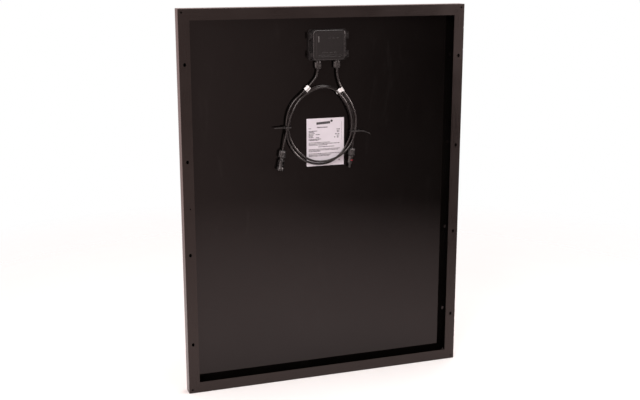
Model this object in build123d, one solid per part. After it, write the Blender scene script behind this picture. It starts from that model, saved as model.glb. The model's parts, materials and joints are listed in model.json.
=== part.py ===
from build123d import *

import math
import os

# Framed photovoltaic module, seen and described from its rear side, in millimetres. X runs to the
# right as seen from behind, Z up, and Y from the rear mounting plane (Y = 0) towards the glass.
# The origin is the centre of the rear mounting plane.

os.makedirs("parts", exist_ok=True)

# Overall size
WIDTH = 808.0
HEIGHT = 1050.0
DEPTH = 35.0

# Frame rail section: outer wall, rear flange, key chamber, laminate slot, front lip
WALL = 1.6
FLANGE_WIDTH = 30.0
FLANGE_THICKNESS = 1.8
EDGE_RADIUS = 1.2
LIP_WIDTH = 10.0
LIP_THICKNESS = 1.6
CHAMBER_WIDTH = 11.0
CHAMBER_REAR = 11.6
CHAMBER_WALL = 1.5
SLOT_REAR = 27.75
SEALANT_COVER = 2.0

# Laminate, listed from the glass to the backsheet
LAMINATE_GAP = 1.4
SEALANT_FILM = 0.3
GLASS_THICKNESS = 3.2
FOIL_THICKNESS = 0.45
CELL_LAYER = 0.6
BACKSHEET_THICKNESS = 0.35
GLASS_CHAMFER = 0.4

# Holes in the rear flange
SLOT_WIDTH = 7.0
SLOT_LENGTH = 10.0
SLOT_END_R = 3.499
SLOT_INSET = 14.5
SLOT_HEIGHTS = (-382.5, -127.5, 127.5, 382.5)
GROUND_HOLE_R = 2.0
GROUND_INSET = 18.0
CORNER_HOLE_R = 2.75
CORNER_INSET = 9.5
DENT_R = 2.2
DENT_OFFSETS = (65.0, 126.0)
CUT_MARGIN = 1.0

# Corner keys
KEY_CLEARANCE = 0.2
KEY_LEG = 62.0
KEY_TOOTH = 0.5
KEY_TEETH = 5
KEY_TIP = 1.0
KEY_TOOTH_START = 3.0

# Solar cells
CELL_SIDE = 125.0
CELL_CORNER = 12.0
CELL_GAP = 2.0
CELL_THICKNESS = 0.2
STRINGS = 6
CELLS_PER_STRING = 8
RIBBON_WIDTH = 1.6
RIBBON_THICKNESS = 0.2
RIBBON_SPACING = 41.0
RIBBON_END = 6.0
RIBBON_LANES = (-1, 0, 1)
BUS_WIDTH = 5.0
BUS_GAP = 3.0
BUS_END_MARGIN = 4.0
STRING_PAIRS = 3

# Junction box, measured from its own centre. A half is a half width and a half height
BOX_X = 7.0
BOX_Z = 422.0
PLATE_HALF = (55.0, 42.0)
PLATE_CORNER = 8.0
PLATE_THICKNESS = 2.5
BEAD_WIDTH = 1.5
BEAD_RISE = 2.5
ADHESIVE_THICKNESS = 0.75
ADHESIVE_INSET = 2.0
TRAY_HALF = (47.5, 41.5)
TRAY_CORNER = 8.0
TRAY_RIM = 13.2
TRAY_WALL = 2.2
TONGUE_HALF = (44.0, 38.0)
TONGUE_CORNER = 5.0
TONGUE_TOP = 9.0
TONGUE_WALL = 2.0
TONGUE_LEDGE = 3.5
SEAL_THICKNESS = 1.0
BOX_SLIT = (64.0, 5.0)
SLIT_CORNER = 1.0
SLIT_RISE = 22.0

# Lid of the junction box
LID_HALF = (46.5, 40.5)
LID_CORNER = 7.5
LID_REAR = 4.0
LID_THICKNESS = 2.2
LID_EDGE = 1.6
SKIRT_END = 11.9
SKIRT_WALL = 2.0
LID_GROOVE_INSET = 5.5
LID_GROOVE_WIDTH = 1.6
LID_GROOVE_DEPTH = 0.6
LID_LINE_DROPS = (26.0, 30.5)
LID_LINE_SIZE = (68.0, 1.4, 0.5)
LID_BAR_PLACE = (-31.0, 16.0)
LID_BAR_SIZE = (2.4, 16.0, 0.8)

# Latches, two on each side: a finger of the lid drops into a loop of the base
LATCH_OFFSET = 25.0
LATCH_X = (51.2, 53.2)
LATCH_HALF = 6.0
LATCH_REAR = 8.0
LATCH_ROOT = 2.0
LATCH_END = 20.0
LOOP_X = (49.0, 56.5)
LOOP_HALF = 9.2
LOOP_POST = 2.0
LOOP_REAR = 9.5
LOOP_BRIDGE_END = 16.0

# Terminals and diodes
TERMINALS = 4
TERMINAL_PITCH = 20.0
TERMINAL_SIZE = (14.0, 1.0, 39.0)
TERMINAL_REAR = 22.0
CARRIER_HALF = 38.0
CARRIER_DROP = 16.0
CARRIER_GAP = 4.0
DIVIDER_SIZE = (2.0, 3.0, 10.0)
DIODE_R = 2.7
DIODE_LENGTH = 9.0
DIODE_RISE = 4.0
LEAD_SIDE = 1.2
LEAD_REACH = 8.0
OUTPUT_WIDTH = 4.0
OUTPUT_FOLD = 0.3
CORE_R = 1.3
CORE_LENGTH = 26.0
CLAMP_SIDE = 8.0

# Cable glands
GLAND_X = {"left": -21.0, "right": 33.0}
GLAND_Y = 18.2
GLAND_MOUTH_Z = 357.5
GLAND_LENGTH = 20.5
GLAND_NUT_R = 9.2
GLAND_SEAL = (7.0, 18.0)
NECK_R = 7.0
NECK_START = 6.0
THREAD_CLEARANCE = 0.05
SEAL_R = 5.5
CABLE_HOLE_R = 3.6

# Cap nuts of the glands and connectors
NUT_FLOOR = 4.5
NUT_EDGE = 0.8
NUT_TAPER = 3.0
NUT_TAPER_RISE = 2.2
NUT_FLUTES = 6
FLUTE_R = 3.2
FLUTE_DEPTH = 1.5
NUT_TURN = {"gland": 11.0, "connector": 49.0}

# Cables
CABLE_R = 3.0
ARC_SHARE = 0.45

# Left cable: out of the left gland, once round the loop anticlockwise, into the left connector
LEFT_ROUTE = [
    (-21.0, 18.2, 372.0),
    (-21.0, 18.2, 343.0),
    (-39.0, 17.4, 320.0),
    (-67.0, 16.8, 293.0),
    (-91.0, 16.9, 273.0),
    (-105.0, 17.3, 249.0),
    (-112.0, 17.6, 221.0),
    (-111.5, 18.4, 192.0),
    (-107.0, 19.6, 163.0),
    (-93.0, 20.8, 137.0),
    (-73.0, 21.2, 114.5),
    (-45.0, 21.4, 99.5),
    (-15.0, 21.6, 93.5),
    (15.0, 21.8, 97.5),
    (38.0, 21.7, 111.5),
    (55.0, 20.6, 130.0),
    (68.5, 18.6, 153.0),
    (76.0, 17.0, 177.0),
    (77.5, 15.4, 203.0),
    (74.0, 13.6, 229.0),
    (64.0, 12.2, 255.0),
    (48.0, 11.2, 279.0),
    (28.0, 10.8, 299.0),
    (3.0, 11.0, 309.5),
    (-24.0, 11.3, 308.0),
    (-51.0, 11.5, 296.0),
    (-74.0, 11.4, 280.0),
    (-91.0, 11.1, 257.0),
    (-102.0, 10.8, 231.0),
    (-109.0, 10.8, 206.0),
    (-114.8, 12.4, 181.0),
    (-121.2, 16.5, 152.9),
    (-124.8, 16.5, 129.1),
]

# Right cable: out of the right gland, once round the loop clockwise, into the right connector
RIGHT_ROUTE = [
    (33.0, 18.2, 372.0),
    (33.0, 18.2, 344.0),
    (39.5, 18.2, 316.5),
    (49.5, 17.6, 296.5),
    (64.0, 16.2, 278.5),
    (77.0, 14.8, 256.0),
    (86.5, 14.2, 231.0),
    (89.0, 13.6, 203.0),
    (85.0, 12.8, 175.0),
    (74.5, 12.8, 148.0),
    (57.0, 13.8, 126.0),
    (33.0, 15.0, 111.0),
    (9.0, 16.6, 103.5),
    (-17.0, 17.8, 101.5),
    (-42.0, 18.6, 106.5),
    (-65.0, 19.4, 121.0),
    (-84.0, 20.4, 140.0),
    (-98.0, 21.2, 163.0),
    (-105.5, 22.2, 190.0),
    (-105.5, 23.6, 219.0),
    (-103.0, 24.2, 247.0),
    (-89.0, 24.3, 272.0),
    (-65.0, 24.3, 292.0),
    (-39.0, 23.5, 305.0),
    (-10.0, 21.6, 312.5),
    (18.0, 20.4, 307.5),
    (42.0, 20.5, 295.0),
    (62.0, 21.8, 274.0),
    (74.5, 22.4, 250.5),
    (84.5, 21.5, 226.0),
    (86.0, 21.9, 200.0),
    (82.5, 21.7, 174.0),
    (80.7, 18.0, 147.4),
    (77.3, 18.0, 123.6),
]

# Connectors: cable mouth and tilt of the axis from straight down
LEFT_MOUTH = (-123.0, 16.5, 141.0)
LEFT_TILT = 8.8
RIGHT_MOUTH = (79.0, 18.0, 135.5)
RIGHT_TILT = 8.3
CONNECTOR_LENGTH = 56.0
CONNECTOR_NUT_R = 9.8
CONNECTOR_NUT_LENGTH = 20.0
CONNECTOR_SEAL = (7.0, 14.0)
CONTACT_R = 2.0
CONTACT_SPAN = (15.0, 52.0)

# Outlines of the connector bodies, as radius and distance from the cable mouth
SOCKET_OUTLINE = [
    (SEAL_R, NECK_START),
    (NECK_R, NECK_START),
    (NECK_R, 20.8),
    (5.2, 21.6),
    (5.2, 26.4),
    (8.6, 28.0),
    (9.0, 28.6),
    (9.0, 47.0),
    (9.9, 48.5),
    (9.9, CONNECTOR_LENGTH),
    (6.8, CONNECTOR_LENGTH),
    (6.8, 30.0),
    (4.0, 30.0),
    (4.0, 50.0),
    (2.4, 50.0),
    (2.4, 32.0),
    (CONTACT_R, 32.0),
    (CONTACT_R, 18.0),
    (SEAL_R, 18.0),
]
PLUG_OUTLINE = [
    (SEAL_R, NECK_START),
    (NECK_R, NECK_START),
    (NECK_R, 20.8),
    (5.6, 21.4),
    (5.6, 22.4),
    (7.8, 23.0),
    (7.8, 26.0),
    (4.9, 26.6),
    (4.9, 33.4),
    (4.3, 33.4),
    (4.3, 35.6),
    (4.9, 35.6),
    (4.9, 45.5),
    (3.2, 47.0),
    (3.2, CONNECTOR_LENGTH),
    (2.3, CONNECTOR_LENGTH),
    (2.3, 34.0),
    (CONTACT_R, 34.0),
    (CONTACT_R, 18.0),
    (SEAL_R, 18.0),
]

# Windows in the socket: turns about its axis, half width, spans from the cable mouth
WINDOW_TURNS = (-21.0, -121.0)
WINDOW_HALF = 3.1
WINDOW_SPANS = ((31.0, 39.0), (41.5, 46.5))
WINDOW_RADII = (5.0, 12.0)

# Fingers of the plug: turn about its axis, half width, radii and span of blade and hook
FINGER_TURN = -49.0
FINGER_HALF = 3.2
FINGER_BLADE = (7.2, 8.7, 23.0, 41.5)
FINGER_HOOK = (8.0, 9.5, 37.5, 41.5)
O_RING = (5.3, 1.0, 34.5)

# Rating label
LABEL_SIZE = (109.0, 133.0)
LABEL_CENTRE = (3.5, 154.5)
LABEL_THICKNESS = 0.15
LABEL_CORNER = 1.0

# Cable ties: centre and inner half size of the loop round the three strands, height, tail
TIE_WIDTH = 4.0
TIE_THICKNESS = 1.2
TIE_HEAD = 5.5
TIE_CORNER = 2.8
TIE_TAIL_WIDTH = 3.0
LEFT_TIE = (-108.6, 17.1, 203.0)
LEFT_TIE_HALF = (7.2, 9.4)
LEFT_TIE_TAIL = [(-134.0, 13.4, 202.4), (-147.0, 14.4, 202.0)]
RIGHT_TIE = (82.2, 17.2, 183.0)
RIGHT_TIE_HALF = (9.6, 8.0)
RIGHT_TIE_TAIL = [(112.0, 15.0, 181.0), (131.0, 16.4, 172.5)]

# Tape tags: where each starts and ends on its cable's axis, reach of its two wings
LEFT_TAG = ((-47.8, 17.2, 311.5), (-58.2, 17.0, 301.5))
LEFT_TAG_WINGS = (5.9, 7.8)
RIGHT_TAG = ((45.5, 17.9, 304.4), (52.6, 17.3, 293.0))
RIGHT_TAG_WINGS = (19.5, 4.8)
TAG_EDGE = 0.3
TAG_WRAP = 1.1
TAG_FOLD = 2.0
TAG_BORE_R = 3.7

# Levels along Y that follow from the sizes above
GLASS_FRONT = DEPTH - LIP_THICKNESS - SEALANT_FILM
GLASS_REAR = GLASS_FRONT - GLASS_THICKNESS
CELL_FRONT = GLASS_REAR - FOIL_THICKNESS
CELL_REAR = CELL_FRONT - CELL_LAYER
BACKSHEET_FRONT = CELL_REAR - FOIL_THICKNESS
BACKSHEET_REAR = BACKSHEET_FRONT - BACKSHEET_THICKNESS
PLATE_FRONT = BACKSHEET_REAR - ADHESIVE_THICKNESS
PLATE_REAR = PLATE_FRONT - PLATE_THICKNESS
SLIT_Z = BOX_Z + SLIT_RISE
LAMINATE_HALF = (WIDTH / 2 - WALL - LAMINATE_GAP, HEIGHT / 2 - WALL - LAMINATE_GAP)
CELL_PITCH = CELL_SIDE + CELL_GAP
STRING_TOP = CELL_PITCH * CELLS_PER_STRING / 2 - CELL_GAP / 2

nodes = {}


def block(x0, x1, y0, y1, z0, z1):
    """Box between two opposite corners."""
    return Pos((x0 + x1) / 2, (y0 + y1) / 2, (z0 + z1) / 2) * Box(x1 - x0, y1 - y0, z1 - z0)


def rounded_slab(half, radius, y0, y1, x=0.0, z=0.0):
    """Slab with rounded corners in the XZ plane, from y0 to y1."""
    plane = Plane(origin=(x, y1, z), x_dir=(1, 0, 0), z_dir=(0, -1, 0))
    return extrude(plane * RectangleRounded(2 * half[0], 2 * half[1], radius), y1 - y0)


def along_y(radius, y0, y1, x, z):
    """Cylinder along Y."""
    return Pos(x, (y0 + y1) / 2, z) * Rot(90, 0, 0) * Cylinder(radius, y1 - y0)


def along_z(radius, z0, z1, x=0.0, y=0.0):
    """Cylinder along Z."""
    return Pos(x, y, (z0 + z1) / 2) * Cylinder(radius, z1 - z0)


# Frame


def rail_section():
    """Section of a rail: first axis inward from the outer wall, second axis from rear to front."""
    outline = make_face(
        Polyline(
            (0, 0),
            (FLANGE_WIDTH, 0),
            (FLANGE_WIDTH, FLANGE_THICKNESS),
            (WALL, FLANGE_THICKNESS),
            (WALL, CHAMBER_REAR),
            (CHAMBER_WIDTH, CHAMBER_REAR),
            (CHAMBER_WIDTH, SLOT_REAR),
            (WALL, SLOT_REAR),
            (WALL, DEPTH - LIP_THICKNESS),
            (LIP_WIDTH, DEPTH - LIP_THICKNESS),
            (LIP_WIDTH, DEPTH),
            (0, DEPTH),
            close=True,
        )
    )
    outer_corners = outline.vertices().filter_by_position(Axis.X, -0.1, 0.1)
    outline = fillet(outer_corners, EDGE_RADIUS)
    chamber_width = CHAMBER_WIDTH - CHAMBER_WALL - WALL
    chamber_depth = SLOT_REAR - CHAMBER_REAR - 2 * CHAMBER_WALL
    chamber = Pos(
        WALL + chamber_width / 2, CHAMBER_REAR + CHAMBER_WALL + chamber_depth / 2
    ) * Rectangle(chamber_width, chamber_depth)
    return outline - chamber


def mitred_rail(length):
    """Rail along Z with its outer wall at X = 0 and both ends mitred at 45 degrees."""
    half = length / 2
    blank = Pos(0, 0, -half) * extrude(rail_section(), length)
    reach = FLANGE_WIDTH + CUT_MARGIN
    plan = Polyline((0, -half), (reach, reach - half), (reach, half - reach), (0, half), close=True)
    return blank & extrude(make_face(Plane.XZ * plan), -DEPTH)


def rail_with_dents(length):
    """Mitred rail with its punched dents on the rounded rear edge, two near each end."""
    rail = mitred_rail(length)
    for offset in DENT_OFFSETS:
        for side in (-1, 1):
            rail -= Pos(0, 0, side * (length / 2 - offset)) * Sphere(DENT_R)
    return rail


def frame_rails():
    side_rail = rail_with_dents(HEIGHT)
    end_rail = Rot(0, -90, 0) * rail_with_dents(WIDTH)
    left = Pos(-WIDTH / 2, 0, 0) * side_rail
    right = mirror(left, Plane.YZ)
    bottom = Pos(0, 0, -HEIGHT / 2) * end_rail
    top = mirror(bottom, Plane.XY)
    rails = {
        "frame_rail_left": left,
        "frame_rail_right": right,
        "frame_rail_bottom": bottom,
        "frame_rail_top": top,
    }
    corner_x = WIDTH / 2 - CORNER_INSET
    corner_z = HEIGHT / 2 - CORNER_INSET
    corners = [
        along_y(CORNER_HOLE_R, -CUT_MARGIN, FLANGE_THICKNESS + CUT_MARGIN, sx * corner_x, sz * corner_z)
        for sx in (-1, 1)
        for sz in (-1, 1)
    ]
    for name in rails:
        for hole in corners:
            rails[name] -= hole
    half = (SLOT_WIDTH / 2, SLOT_LENGTH / 2)
    for name, side in (("frame_rail_left", -1), ("frame_rail_right", 1)):
        x = side * (WIDTH / 2 - SLOT_INSET)
        for z in SLOT_HEIGHTS:
            slot = rounded_slab(half, SLOT_END_R, -CUT_MARGIN, FLANGE_THICKNESS + CUT_MARGIN, x, z)
            rails[name] -= slot
    ground_x = GROUND_INSET - WIDTH / 2
    ground = along_y(GROUND_HOLE_R, -CUT_MARGIN, FLANGE_THICKNESS + CUT_MARGIN, ground_x, 0)
    rails["frame_rail_left"] -= ground
    nodes.update(rails)


def corner_key():
    """L-shaped key in the rear left lower chamber corner, toothed on its inner sides."""
    inner = WALL + KEY_CLEARANCE
    outer = CHAMBER_WIDTH - CHAMBER_WALL - KEY_CLEARANCE
    tip = inner + KEY_LEG
    side = [
        (inner, inner),
        (tip - KEY_TIP, inner),
        (tip, inner + KEY_TIP),
        (tip, outer - KEY_TIP),
        (tip - KEY_TIP, outer),
    ]
    pitch = (KEY_LEG - 2 * outer) / KEY_TEETH
    teeth = []
    for i in range(KEY_TEETH):
        foot = tip - KEY_TOOTH_START - i * pitch
        teeth += [(foot, outer), (foot - pitch / 2, outer - KEY_TOOTH), (foot - pitch / 2, outer)]
    leg = side + teeth
    mirrored = [(b, a) for a, b in reversed(leg[1:])]
    outline = leg + [(outer, outer)] + mirrored
    depth0 = CHAMBER_REAR + CHAMBER_WALL + KEY_CLEARANCE
    depth1 = SLOT_REAR - CHAMBER_WALL - KEY_CLEARANCE
    face = make_face(Plane.XZ * Polyline(*outline, close=True))
    return Pos(-WIDTH / 2, depth0, -HEIGHT / 2) * extrude(face, -(depth1 - depth0))


def corner_keys():
    bottom_left = corner_key()
    bottom_right = mirror(bottom_left, Plane.YZ)
    nodes["corner_key_bottom_left"] = bottom_left
    nodes["corner_key_bottom_right"] = bottom_right
    nodes["corner_key_top_left"] = mirror(bottom_left, Plane.XY)
    nodes["corner_key_top_right"] = mirror(bottom_right, Plane.XY)


# Laminate


def laminate_sheet(y0, y1, inset=0.0):
    half_x = LAMINATE_HALF[0] - inset
    half_z = LAMINATE_HALF[1] - inset
    return block(-half_x, half_x, y0, y1, -half_z, half_z)


def laminate():
    window_x = WIDTH / 2 - CHAMBER_WIDTH + SEALANT_COVER
    window_z = HEIGHT / 2 - CHAMBER_WIDTH + SEALANT_COVER
    ring_x = WIDTH / 2 - WALL
    ring_z = HEIGHT / 2 - WALL
    ring = block(-ring_x, ring_x, SLOT_REAR, DEPTH - LIP_THICKNESS, -ring_z, ring_z)
    ring -= block(-window_x, window_x, 0, DEPTH, -window_z, window_z)
    ring -= laminate_sheet(BACKSHEET_REAR, GLASS_FRONT)
    nodes["frame_sealant"] = ring
    nodes["front_glass"] = chamfer(laminate_sheet(GLASS_REAR, GLASS_FRONT).edges(), GLASS_CHAMFER)
    nodes["encapsulant_front"] = laminate_sheet(CELL_FRONT, GLASS_REAR)
    rear_foil = laminate_sheet(BACKSHEET_FRONT, CELL_REAR)
    for x in output_positions():
        lane = OUTPUT_WIDTH / 2 + KEY_CLEARANCE
        rear_foil -= block(x - lane, x + lane, 0, DEPTH, SLIT_Z - CUT_MARGIN, bus_level() + BUS_WIDTH)
    nodes["encapsulant_rear"] = rear_foil
    half_slit = (BOX_SLIT[0] / 2, BOX_SLIT[1] / 2)
    slit = rounded_slab(half_slit, SLIT_CORNER, 0, DEPTH, BOX_X, SLIT_Z)
    nodes["backsheet"] = laminate_sheet(BACKSHEET_REAR, BACKSHEET_FRONT) - slit


def string_x(index):
    return (index - (STRINGS - 1) / 2) * CELL_PITCH


def cell_face():
    """Pseudo-square wafer outline."""
    half = CELL_SIDE / 2
    cut = half - CELL_CORNER
    points = [(half, -cut), (half, cut), (cut, half), (-cut, half)]
    points += [(-x, -z) for x, z in points]
    return make_face(Plane.XZ * Polyline(*points, close=True))


def cell_strings():
    cell_y = CELL_REAR + RIBBON_THICKNESS
    wafer = Pos(0, cell_y, 0) * extrude(cell_face(), -CELL_THICKNESS)
    for index in range(STRINGS):
        wafers = [
            Pos(string_x(index), 0, STRING_TOP - CELL_SIDE / 2 - row * CELL_PITCH) * wafer
            for row in range(CELLS_PER_STRING)
        ]
        nodes[f"cell_string_{index + 1}"] = Compound(children=wafers)


def tab_ribbon(x, z_joint):
    """Ribbon from the front of the lower cell to the rear of the cell above it."""
    rear = CELL_REAR
    front = rear + RIBBON_THICKNESS + CELL_THICKNESS
    half = RIBBON_WIDTH / 2
    reach = CELL_SIDE - RIBBON_END
    step = RIBBON_THICKNESS / 2
    lower = block(x - half, x + half, front, front + RIBBON_THICKNESS, z_joint - reach, z_joint + step)
    riser = block(x - half, x + half, rear, front + RIBBON_THICKNESS, z_joint - step, z_joint + step)
    upper = block(x - half, x + half, rear, rear + RIBBON_THICKNESS, z_joint - step, z_joint + reach)
    return lower + riser + upper


def end_ribbon(x, top):
    """Ribbon from an end cell out to the bus ribbon."""
    half = RIBBON_WIDTH / 2
    reach = CELL_SIDE - RIBBON_END
    bus = STRING_TOP + BUS_GAP
    if top:
        y0 = CELL_REAR + RIBBON_THICKNESS + CELL_THICKNESS
        return block(x - half, x + half, y0, y0 + RIBBON_THICKNESS, STRING_TOP - reach, bus)
    return block(x - half, x + half, CELL_REAR, CELL_REAR + RIBBON_THICKNESS, -bus, reach - STRING_TOP)


def string_ribbons():
    for index in range(STRINGS):
        ribbons = []
        for lane in RIBBON_LANES:
            x = string_x(index) + lane * RIBBON_SPACING
            for row in range(1, CELLS_PER_STRING):
                z = STRING_TOP - row * CELL_PITCH + CELL_GAP / 2
                ribbons.append(tab_ribbon(x, z))
            ribbons.append(end_ribbon(x, True))
            ribbons.append(end_ribbon(x, False))
        nodes[f"string_ribbons_{index + 1}"] = Compound(children=ribbons)


def bus_level():
    """Height of the top bus ribbon's lower edge."""
    return STRING_TOP + BUS_GAP


def bus_ribbons():
    """Top bus in four lengths, one per terminal; bottom bus in three, one per string pair."""
    y0 = CELL_REAR
    y1 = y0 + 2 * RIBBON_THICKNESS
    reach = string_x(STRINGS - 1) + RIBBON_SPACING + RIBBON_WIDTH
    gap = CELL_PITCH / 2 - RIBBON_SPACING - BUS_END_MARGIN
    low = bus_level()
    first_cut = string_x(0) + CELL_PITCH / 2
    cuts = [-reach, first_cut, 0, -first_cut, reach]
    tops = []
    for start, end in zip(cuts, cuts[1:]):
        x0 = start if start == -reach else start + gap / 2
        x1 = end if end == reach else end - gap / 2
        tops.append(block(x0, x1, y0, y1, low, low + BUS_WIDTH))
    nodes["bus_ribbons_top"] = Compound(children=tops)
    bottoms = []
    for pair in range(STRING_PAIRS):
        x0 = string_x(2 * pair) - RIBBON_SPACING - RIBBON_WIDTH
        x1 = string_x(2 * pair + 1) + RIBBON_SPACING + RIBBON_WIDTH
        bottoms.append(block(x0, x1, y0, y1, -low - BUS_WIDTH, -low))
    nodes["bus_ribbons_bottom"] = Compound(children=bottoms)


def output_positions():
    middle = (TERMINALS - 1) / 2
    return [BOX_X + (i - middle) * TERMINAL_PITCH for i in range(TERMINALS)]


def output_ribbons():
    """Ribbons from the top bus down to the slit and out to the terminals."""
    half = OUTPUT_WIDTH / 2
    front = CELL_REAR
    rear = front - RIBBON_THICKNESS
    ribbons = []
    for x in output_positions():
        lane = block(x - half, x + half, rear, front, SLIT_Z, bus_level() + BUS_WIDTH)
        foot = TERMINAL_REAR + TERMINAL_SIZE[1]
        riser = block(x - half, x + half, foot, front, SLIT_Z, SLIT_Z + OUTPUT_FOLD)
        ribbons.append(lane + riser)
    nodes["output_ribbons"] = Compound(children=ribbons)


# Junction box


def inset(half, by):
    return (half[0] - by, half[1] - by)


def box_slab(half, radius, y0, y1):
    """Rounded slab centred on the junction box."""
    return rounded_slab(half, radius, y0, y1, BOX_X, BOX_Z)


def slit_cut(margin, radius):
    """Cutter for the ribbons' slit, wider than the slit by a margin all round."""
    half = (BOX_SLIT[0] / 2 + margin, BOX_SLIT[1] / 2 + margin)
    return rounded_slab(half, radius, 0, DEPTH, BOX_X, SLIT_Z)


def junction_box_base():
    plate = box_slab(PLATE_HALF, PLATE_CORNER, PLATE_REAR, PLATE_FRONT)
    bead = box_slab(PLATE_HALF, PLATE_CORNER, PLATE_REAR - BEAD_RISE, PLATE_REAR)
    bead -= box_slab(inset(PLATE_HALF, BEAD_WIDTH), PLATE_CORNER - BEAD_WIDTH, 0, DEPTH)
    tray = box_slab(TRAY_HALF, TRAY_CORNER, TRAY_RIM, PLATE_REAR)
    tray -= box_slab(inset(TRAY_HALF, TRAY_WALL), TRAY_CORNER - TRAY_WALL, 0, PLATE_REAR)
    tongue = box_slab(TRAY_HALF, TRAY_CORNER, TRAY_RIM, TRAY_RIM + TONGUE_WALL)
    tongue += box_slab(TONGUE_HALF, TONGUE_CORNER, TONGUE_TOP, TRAY_RIM)
    tongue -= box_slab(inset(TONGUE_HALF, TONGUE_WALL), TONGUE_CORNER - TONGUE_WALL, 0, DEPTH)
    base = plate + bead + tray + tongue
    base -= slit_cut(0, SLIT_CORNER)
    base += latch_loops()
    wall_z = BOX_Z - TRAY_HALF[1]
    inner_z = wall_z + TRAY_WALL + TONGUE_LEDGE
    neck_z = GLAND_MOUTH_Z + NECK_START
    for x in GLAND_X.values():
        base += along_z(NECK_R, neck_z, wall_z, x, GLAND_Y)
        base -= along_z(SEAL_R, neck_z - CUT_MARGIN, wall_z, x, GLAND_Y)
        base -= along_z(CABLE_HOLE_R, wall_z - CUT_MARGIN, inner_z + CUT_MARGIN, x, GLAND_Y)
    nodes["junction_box_base"] = base


def both_sides(x0, x1, y0, y1, z0, z1):
    """The same block on the right and on the left of the junction box."""
    right = block(BOX_X + x0, BOX_X + x1, y0, y1, z0, z1)
    left = block(BOX_X - x1, BOX_X - x0, y0, y1, z0, z1)
    return right + left


def latch_loops():
    """Loops beside the lid that its fingers drop into, two on each side."""
    x0, x1 = LOOP_X
    loops = []
    for z in (BOX_Z - LATCH_OFFSET, BOX_Z + LATCH_OFFSET):
        low, high = z - LOOP_HALF, z + LOOP_HALF
        loops.append(both_sides(x0, x1, LOOP_REAR, PLATE_REAR, low, low + LOOP_POST))
        loops.append(both_sides(x0, x1, LOOP_REAR, PLATE_REAR, high - LOOP_POST, high))
        loops.append(both_sides(x1 - LOOP_POST, x1, LOOP_REAR, LOOP_BRIDGE_END, low, high))
    solid = loops[0]
    for loop in loops[1:]:
        solid += loop
    return solid


def junction_box_lid():
    cap = box_slab(LID_HALF, LID_CORNER, LID_REAR, SKIRT_END)
    rim = cap.edges().filter_by_position(Axis.Y, LID_REAR - 0.01, LID_REAR + 0.01)
    cap = fillet(rim, LID_EDGE)
    inner = inset(LID_HALF, SKIRT_WALL)
    cap -= box_slab(inner, LID_CORNER - SKIRT_WALL, LID_REAR + LID_THICKNESS, DEPTH)
    groove_out = inset(LID_HALF, LID_GROOVE_INSET)
    groove_in = inset(groove_out, LID_GROOVE_WIDTH)
    floor = LID_REAR + LID_GROOVE_DEPTH
    groove = box_slab(groove_out, LID_CORNER - LID_GROOVE_INSET + LID_GROOVE_WIDTH, 0, floor)
    groove -= box_slab(groove_in, LID_CORNER - LID_GROOVE_INSET, 0, floor)
    cap -= groove
    line_x, line_z, line_depth = LID_LINE_SIZE
    for drop in LID_LINE_DROPS:
        z = BOX_Z - drop
        x0, x1 = BOX_X - line_x / 2, BOX_X + line_x / 2
        cap -= block(x0, x1, 0, LID_REAR + line_depth, z - line_z / 2, z + line_z / 2)
    bar_x, bar_z = BOX_X + LID_BAR_PLACE[0], BOX_Z + LID_BAR_PLACE[1]
    half_x, half_z, rise = LID_BAR_SIZE[0] / 2, LID_BAR_SIZE[1] / 2, LID_BAR_SIZE[2]
    cap += block(
        bar_x - half_x, bar_x + half_x, LID_REAR - rise, LID_REAR + rise, bar_z - half_z, bar_z + half_z
    )
    root_x = LID_HALF[0] - SKIRT_WALL / 2
    root_end = LATCH_REAR + LATCH_ROOT
    for z in (BOX_Z - LATCH_OFFSET, BOX_Z + LATCH_OFFSET):
        low, high = z - LATCH_HALF, z + LATCH_HALF
        cap += both_sides(root_x, LATCH_X[1], LATCH_REAR, root_end, low, high)
        cap += both_sides(LATCH_X[0], LATCH_X[1], LATCH_REAR, LATCH_END, low, high)
    nodes["junction_box_lid"] = cap


def junction_box_small_parts():
    seal = box_slab(LID_HALF, LID_CORNER, TRAY_RIM - SEAL_THICKNESS, TRAY_RIM)
    seal -= box_slab(inset(LID_HALF, SKIRT_WALL), LID_CORNER - SKIRT_WALL, 0, DEPTH)
    nodes["lid_seal"] = seal
    glue_corner = PLATE_CORNER - ADHESIVE_INSET
    glue = box_slab(inset(PLATE_HALF, ADHESIVE_INSET), glue_corner, PLATE_FRONT, BACKSHEET_REAR)
    nodes["junction_box_adhesive"] = glue - slit_cut(ADHESIVE_INSET, ADHESIVE_INSET)


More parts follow.
